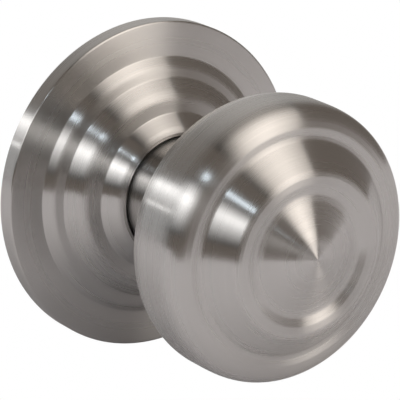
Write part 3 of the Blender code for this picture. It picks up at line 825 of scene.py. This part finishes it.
class DOORKNOB_OT_return_gear(bpy.types.Operator):
    """Build the springs, washers, bearing, snap ring and lock nut hidden in the rose and the head"""
    bl_idname = "doorknob.return_gear"
    bl_label = "Return Gear"

    def execute(self, context):
        for place, (stop, finger) in STOP_AND_FINGER.items():
            side = 1 if finger > stop else -1
            start, end = sorted((stop + STOP_GAP * side, finger - FINGER_GAP * side))
            spring = make_spring(f"return_spring_{place}_coiled", start, end)
            dress(spring, spring_steel())
            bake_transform(spring)
            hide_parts(f"return_spring_{place}")
        ring = make_snap_ring()
        finish_piece(ring, spring_steel(), "knob", "circlip")
        washer = turned("thrust_washer_moulded", ring_outline(8.3 * MM, 11.6 * MM, 5.6 * MM, 6.1 * MM), 128)
        finish_piece(washer, nylon(), "knob", "thrust_washer")
        bush = [(8.3 * MM, 7 * MM), (8.3 * MM, 6.4 * MM), (9.6 * MM, 6.4 * MM), (9.6 * MM, 7.7 * MM),
                (11.4 * MM, 7.7 * MM), (11.4 * MM, 8.5 * MM), (8.3 * MM, 8.5 * MM), (8.3 * MM, 7 * MM)]
        bush = turned("neck_bush_moulded", rounded(bush, [0.15 * MM] * 6, 0.08 * MM)[:-1], 128)
        finish_piece(bush, nylon(), "rose", "neck_bush")
        outline = ring_outline(8.6 * MM, 11.1 * MM, 9.1 * MM, 9.4 * MM, 0.05 * MM)
        angles = np.linspace(0, 2 * np.pi, 144, endpoint=False)
        wave = outline[:, 1:] - 0.25 * MM * np.sin(3 * angles)
        wave = surface("wave_washer_pressed", outline[:, :1] * np.ones((1, 144)), wave, angles)
        finish_piece(wave, spring_steel(), "knob", "wave_washer")
        nut = turned("lock_nut_turned", ring_outline(9.8 * MM, 13.4 * MM, 27.8 * MM, 31.2 * MM, 0.3 * MM), 128)
        for wide, deep in ((14 * MM, 1 * MM), (1 * MM, 14 * MM)):
            slot = bpy.data.meshes.new("spanner_slot")
            box = bmesh.new()
            bmesh.ops.create_cube(box, size=1.0)
            bmesh.ops.transform(box, matrix=Matrix.Diagonal((2 * wide, 3 * MM, 2 * deep, 1)), verts=box.verts)
            bmesh.ops.translate(box, vec=(0, -31.5 * MM, 0), verts=box.verts)
            box.to_mesh(slot)
            box.free()
            tool = bpy.data.objects.new("spanner_slot", slot)
            bpy.context.scene.collection.objects.link(tool)
            cut(nut, tool)
        finish_piece(nut, plated_steel(), "knob", "shell_lock_nut")
        return {"FINISHED"}


def make_spindle_bar():
    """Square bar with broken edges: radius = min(half / max(|cos|, |sin|), reach / (|cos| + |sin|))."""
    half, chamfer = SPINDLE_HALF, 0.5 * MM
    corner = math.atan2(half - chamfer, half)
    quarter = np.concatenate([np.linspace(-corner, corner, 9), [math.pi / 4]])
    angles = (quarter[None, :] + np.pi / 2 * np.arange(4)[:, None]).ravel()
    c, s = np.abs(np.cos(angles)), np.abs(np.sin(angles))
    section = np.minimum(half / np.maximum(c, s), (2 * half - chamfer) / (c + s))
    low, high = SPINDLE_BACK, SPINDLE_FRONT
    depth = np.concatenate([[low], np.linspace(low + chamfer, high - chamfer, 40), [high]])
    scale = np.ones(42)
    scale[[0, -1]] = (half - chamfer) / half
    inner = 0.3 * section[None, :]
    radius = np.vstack([inner, scale[:, None] * section, inner])
    depth = np.concatenate([[low], depth, [high]])[:, None] * np.ones((1, len(angles)))
    return surface("spindle_bar", radius, depth, angles, (low, high))


class DOORKNOB_OT_spindle(bpy.types.Operator):
    """Build the square spindle that turns the latch"""
    bl_idname = "doorknob.spindle"
    bl_label = "Spindle"

    def execute(self, context):
        finish_piece(make_spindle_bar(), drawn_steel(), "knob", "spindle")
        return {"FINISHED"}


class DOORKNOB_OT_castings(bpy.types.Operator):
    """Give the mounting plate, the drive cam, the cassette's cover and the cover clips their finishes"""
    bl_idname = "doorknob.castings"
    bl_label = "Castings and Clips"

    def execute(self, context):
        finishes = {"mounting_plate": zinc_casting(), "drive_cam": zinc_casting(), "cassette_cover": plated_steel(),
                    "cover_clip_right": spring_steel(), "cover_clip_left": spring_steel(),
                    "cover_clip_bottom": spring_steel()}
        for node, material in finishes.items():
            for slot in bpy.data.objects[node].material_slots:
                slot.material = material
        return {"FINISHED"}


# ---------------------------------------------------------------- studio

class DOORKNOB_OT_studio(bpy.types.Operator):
    """Set up the camera, the soft lights and the pale floor"""
    bl_idname = "doorknob.studio"
    bl_label = "Studio"

    def execute(self, context):
        make_camera(context.scene)
        make_world(context.scene)
        make_floor()
        make_lights()
        context.scene.view_settings.view_transform = "Standard"
        return {"FINISHED"}


def make_camera(scene):
    studio = scene.knob_studio
    azimuth, elevation = studio.camera_azimuth, studio.camera_elevation
    back = np.array([math.sin(azimuth) * math.cos(elevation), -math.cos(azimuth) * math.cos(elevation),
                     math.sin(elevation)])
    target = np.array([0.4081 * ROSE_RADIUS, 0.0, -0.205 * ROSE_RADIUS])
    data = bpy.data.cameras.new("camera")
    data.lens = studio.lens * 1000
    data.sensor_width = 36
    data.clip_start, data.clip_end = 0.01, 20
    camera = bpy.data.objects.new("camera", data)
    camera.location = target + back * studio.camera_distance
    camera.rotation_euler = (math.pi / 2 - elevation, 0, azimuth)
    scene.collection.objects.link(camera)
    scene.camera = camera


def make_world(scene):
    """Dim warm room in front and a paler wall behind for reflections, plain white to the camera."""
    world = bpy.data.worlds.new("studio")
    world.use_nodes = True
    nodes, links = world.node_tree.nodes, world.node_tree.links
    nodes.clear()
    output = nodes.new("ShaderNodeOutputWorld")
    mix = nodes.new("ShaderNodeMixShader")
    path = nodes.new("ShaderNodeLightPath")
    seen = nodes.new("ShaderNodeBackground")
    seen.inputs["Color"].default_value = (1, 1, 1, 1)
    around = nodes.new("ShaderNodeBackground")
    direction = nodes.new("ShaderNodeTexCoord")
    split = nodes.new("ShaderNodeSeparateXYZ")
    links.new(direction.outputs["Generated"], split.inputs[0])
    depth = nodes.new("ShaderNodeMapRange")
    depth.interpolation_type = "SMOOTHSTEP"
    depth.inputs["From Min"].default_value = 0.45
    depth.inputs["From Max"].default_value = 0.88
    links.new(split.outputs["Y"], depth.inputs["Value"])
    side = nodes.new("ShaderNodeMapRange")
    side.inputs["From Min"].default_value = -0.45
    side.inputs["From Max"].default_value = 0.6
    side.inputs["To Min"].default_value = 0.08
    links.new(split.outputs["X"], side.inputs["Value"])
    room = nodes.new("ShaderNodeValToRGB")
    front, behind = room.color_ramp.elements
    front.color = (0.17, 0.145, 0.125, 1)
    behind.color = (0.86, 0.86, 0.85, 1)
    factor = math_node(nodes, links, "MULTIPLY", depth.outputs["Result"], side.outputs["Result"])
    links.new(factor, room.inputs["Fac"])
    links.new(room.outputs["Color"], around.inputs["Color"])
    links.new(path.outputs["Is Camera Ray"], mix.inputs[0])
    links.new(around.outputs[0], mix.inputs[1])
    links.new(seen.outputs[0], mix.inputs[2])
    links.new(mix.outputs[0], output.inputs["Surface"])
    scene.world = world


def stage_material(name):
    material = bpy.data.materials.new(name)
    material.use_nodes = True
    nodes = material.node_tree.nodes
    nodes.clear()
    return nodes, material.node_tree.links, nodes.new("ShaderNodeOutputMaterial"), material


def make_floor():
    """Pale matt floor under the rose: plain white to the camera, lit and shadowed in reflections, with a painted
    contact shadow that darkens its colour near the knob set's foot.
    """
    nodes, links, output, material = stage_material("pale_floor")
    path = nodes.new("ShaderNodeLightPath")
    geometry = nodes.new("ShaderNodeNewGeometry")
    white = nodes.new("ShaderNodeEmission")
    matt = nodes.new("ShaderNodeBsdfDiffuse")
    place = nodes.new("ShaderNodeTexCoord")
    # Painted shadow: the floor's colour darkens from 0.775 to 0.52 towards a point just behind the knob set's foot, a
    # contact shadow painted into the floor and seen in the metal's reflections.
    distance = nodes.new("ShaderNodeVectorMath")
    distance.operation = "DISTANCE"
    distance.inputs[1].default_value = (0, 0.02, CAD_BOX[0][2])
    links.new(place.outputs["Object"], distance.inputs[0])
    painted_shadow_falloff = nodes.new("ShaderNodeMapRange")
    painted_shadow_falloff.inputs["From Min"].default_value = 0.02
    painted_shadow_falloff.inputs["From Max"].default_value = 0.10
    links.new(distance.outputs["Value"], painted_shadow_falloff.inputs["Value"])
    # under is the painted shadow's colour next to the foot; away is the floor's own pale colour further out.
    tint = nodes.new("ShaderNodeValToRGB")
    under, away = tint.color_ramp.elements
    under.color = (0.52, 0.51, 0.52, 1)
    away.color = (0.775, 0.765, 0.79, 1)
    links.new(painted_shadow_falloff.outputs["Result"], tint.inputs["Fac"])
    links.new(tint.outputs["Color"], matt.inputs["Color"])
    clear = nodes.new("ShaderNodeBsdfTransparent")
    seen = nodes.new("ShaderNodeMixShader")
    below = nodes.new("ShaderNodeMixShader")
    links.new(path.outputs["Is Camera Ray"], seen.inputs[0])
    links.new(matt.outputs[0], seen.inputs[1])
    links.new(white.outputs[0], seen.inputs[2])
    links.new(geometry.outputs["Backfacing"], below.inputs[0])
    links.new(seen.outputs[0], below.inputs[1])
    links.new(clear.outputs[0], below.inputs[2])
    links.new(below.outputs[0], output.inputs["Surface"])
    level = CAD_BOX[0][2] - 0.1 * MM
    outline = [(-0.60, -0.15), (-0.02, -0.19), (0.10, -0.235), (0.60, -0.70), (0.60, 0.45), (-0.60, 0.45)]
    mesh = bpy.data.meshes.new("floor")
    mesh.from_pydata([(x, y, level) for x, y in outline], [], [tuple(range(len(outline)))])
    floor = bpy.data.objects.new("floor", mesh)
    bpy.context.scene.collection.objects.link(floor)
    dress(floor, material)


def mirrored(angle, slope):
    """Direction seen from the camera in a mirror whose face is turned by a ring angle and a slope.

    The mirror's normal is (cos angle sin slope, -cos slope, sin angle sin slope), and the direction is
    twice the part of the view along that normal, less the view.
    """
    view = np.array([-0.55, -0.768, 0.327])
    view /= np.linalg.norm(view)
    angle, slope = np.radians(angle), np.radians(slope)
    normal = np.stack([np.cos(angle) * np.sin(slope), -np.cos(slope), np.sin(angle) * np.sin(slope)], axis=-1)
    return 2 * (normal @ view)[..., None] * normal - view


def glow_panel(name, angles, slopes, colour, strength, across, along, distance=1.5):
    """Curved light panel: point (u, v) lies where a ring of slope v, at ring angle u, mirrors the camera.

    Its brightness is the product of two profiles, one across the ring angle and one along the slope.
    """
    u, v = np.meshgrid(np.linspace(0, 1, 9), np.linspace(0, 1, 25), indexing="ij")
    points = mirrored(angles[0] + u * (angles[1] - angles[0]), slopes[0] + v * (slopes[1] - slopes[0])) * distance
    rows, columns = u.shape
    corner = (np.arange(rows - 1)[:, None] * columns + np.arange(columns - 1)).ravel()
    faces = np.stack([corner, corner + columns, corner + columns + 1, corner + 1], axis=1)
    nodes, links, output, material = stage_material(name)
    place = nodes.new("ShaderNodeUVMap")
    place.uv_map = "place"
    split = nodes.new("ShaderNodeSeparateXYZ")
    links.new(place.outputs[0], split.inputs[0])
    fades = []
    for side, profile in zip(split.outputs[:2], (across, along)):
        ramp = nodes.new("ShaderNodeValToRGB")
        stops = ramp.color_ramp.elements
        while len(stops) < len(profile):
            stops.new(0.5)
        for stop, (position, level) in zip(stops, profile):
            stop.position = position
            stop.color = (level, level, level, 1)
        links.new(side, ramp.inputs["Fac"])
        fades.append(ramp.outputs["Color"])
    glow = nodes.new("ShaderNodeEmission")
    glow.inputs["Color"].default_value = (*colour, 1)
    both = math_node(nodes, links, "MULTIPLY", *fades)
    links.new(math_node(nodes, links, "MULTIPLY", both, strength), glow.inputs["Strength"])
    links.new(glow.outputs[0], output.inputs["Surface"])
    mesh = bpy.data.meshes.new(name)
    mesh.from_pydata(points.reshape(-1, 3).tolist(), [], faces.tolist())
    place = np.stack([u.ravel(), v.ravel()], axis=1)[faces.ravel()]
    mesh.uv_layers.new(name="place").data.foreach_set("uv", place.ravel())
    panel = bpy.data.objects.new(name, mesh)
    bpy.context.scene.collection.objects.link(panel)
    dress(panel, material)
    panel.visible_camera = False
    panel.visible_shadow = False
    return panel


def make_lights():
    glow_panel("key_panel", (84.5, 126), (0, 75), (1.0, 0.93, 0.86), 1.87,
               ((0, 0), (0.06, 0.5), (0.22, 0.76), (0.4, 1), (0.55, 1), (0.75, 0.75), (0.9, 0.25), (1, 0)),
               ((0, 0.5), (0.12, 0.95), (0.3, 1), (0.6, 0.85), (1, 0)))
    glow_panel("cool_lamp", (135.7, 139.4), (36, 45), (0.78, 0.90, 1.0), 9.0,
               ((0, 0), (0.3, 1), (0.7, 1), (1, 0)), ((0, 0), (0.4, 1), (0.7, 1), (1, 0)))
    glow_panel("window", (141, 164), (34, 82), (1.0, 1.0, 1.0), 2.6,
               ((0, 0), (0.2, 0.6), (0.32, 1), (0.4, 0.92), (0.54, 0.6), (0.68, 0.38), (0.85, 0.15), (1, 0)),
               ((0, 0), (0.12, 0.9), (0.5, 1), (0.8, 0.8), (1, 0)))
    glow_panel("window_side", (144.5, 154.5), (66, 122), (1.0, 1.0, 1.0), 2.8,
               ((0, 0), (0.25, 0.7), (0.35, 1), (0.5, 0.75), (0.75, 0.42), (1, 0.3)),
               ((0, 0), (0.3, 1), (0.7, 0.8), (1, 0.6)))
    glow_panel("window_bar", (155.2, 157.2), (66, 122), (1.0, 1.0, 1.0), 2.7,
               ((0, 0), (0.3, 1), (0.7, 1), (1, 0)), ((0, 0), (0.3, 1), (0.7, 0.8), (1, 0.5)))
    glow_panel("window_edge", (157.4, 173), (70, 122), (1.0, 1.0, 1.0), 0.7,
               ((0, 0.8), (0.3, 1), (0.7, 0.9), (1, 0)), ((0, 0), (0.3, 1), (0.7, 0.8), (1, 0.6)))
    for name, turn, power in (("front_fill", (30, 0, 35), 1.06), ("back_fill", (-30, 0, 35), 0.80)):
        fill = bpy.data.lights.new(name, "SUN")
        fill.energy = power
        fill.angle = math.radians(70)
        lamp = bpy.data.objects.new(name, fill)
        lamp.location = (0, 0, 1.5)
        lamp.rotation_euler = [math.radians(angle) for angle in turn]
        lamp.visible_glossy = False
        bpy.context.scene.collection.objects.link(lamp)


# ---------------------------------------------------------------- panel, registration and start

class DOORKNOB_PT_panel(bpy.types.Panel):
    """Lists the steps that build the knob and its settings"""
    bl_label = "Turned Door Knob"
    bl_idname = "DOORKNOB_PT_panel"
    bl_space_type = "VIEW_3D"
    bl_region_type = "UI"
    bl_category = "Door Knob"

    def draw(self, context):
        layout = self.layout
        for step in STEPS:
            layout.operator(step.bl_idname)
        for group in (context.scene.knob_sizes, context.scene.knob_finish, context.scene.knob_studio):
            box = layout.box()
            for name in group.__annotations__:
                box.prop(group, name)


STEPS = (DOORKNOB_OT_knob_head, DOORKNOB_OT_shank, DOORKNOB_OT_rose, DOORKNOB_OT_fixings,
         DOORKNOB_OT_return_gear, DOORKNOB_OT_spindle, DOORKNOB_OT_castings, DOORKNOB_OT_studio)
CLASSES = (KnobSizes, KnobFinish, StudioSettings, *STEPS, DOORKNOB_PT_panel)


def register():
    """Register the classes and put their settings on the scene."""
    for cls in CLASSES:
        bpy.utils.register_class(cls)
    bpy.types.Scene.knob_sizes = bpy.props.PointerProperty(type=KnobSizes)
    bpy.types.Scene.knob_finish = bpy.props.PointerProperty(type=KnobFinish)
    bpy.types.Scene.knob_studio = bpy.props.PointerProperty(type=StudioSettings)


def unregister():
    """Undo what register does."""
    del bpy.types.Scene.knob_studio, bpy.types.Scene.knob_finish, bpy.types.Scene.knob_sizes
    for cls in reversed(CLASSES):
        bpy.utils.unregister_class(cls)


def main():
    register()
    for step in STEPS:
        category, operator = step.bl_idname.split(".")
        getattr(getattr(bpy.ops, category), operator)()


if __name__ == "__main__":
    main()
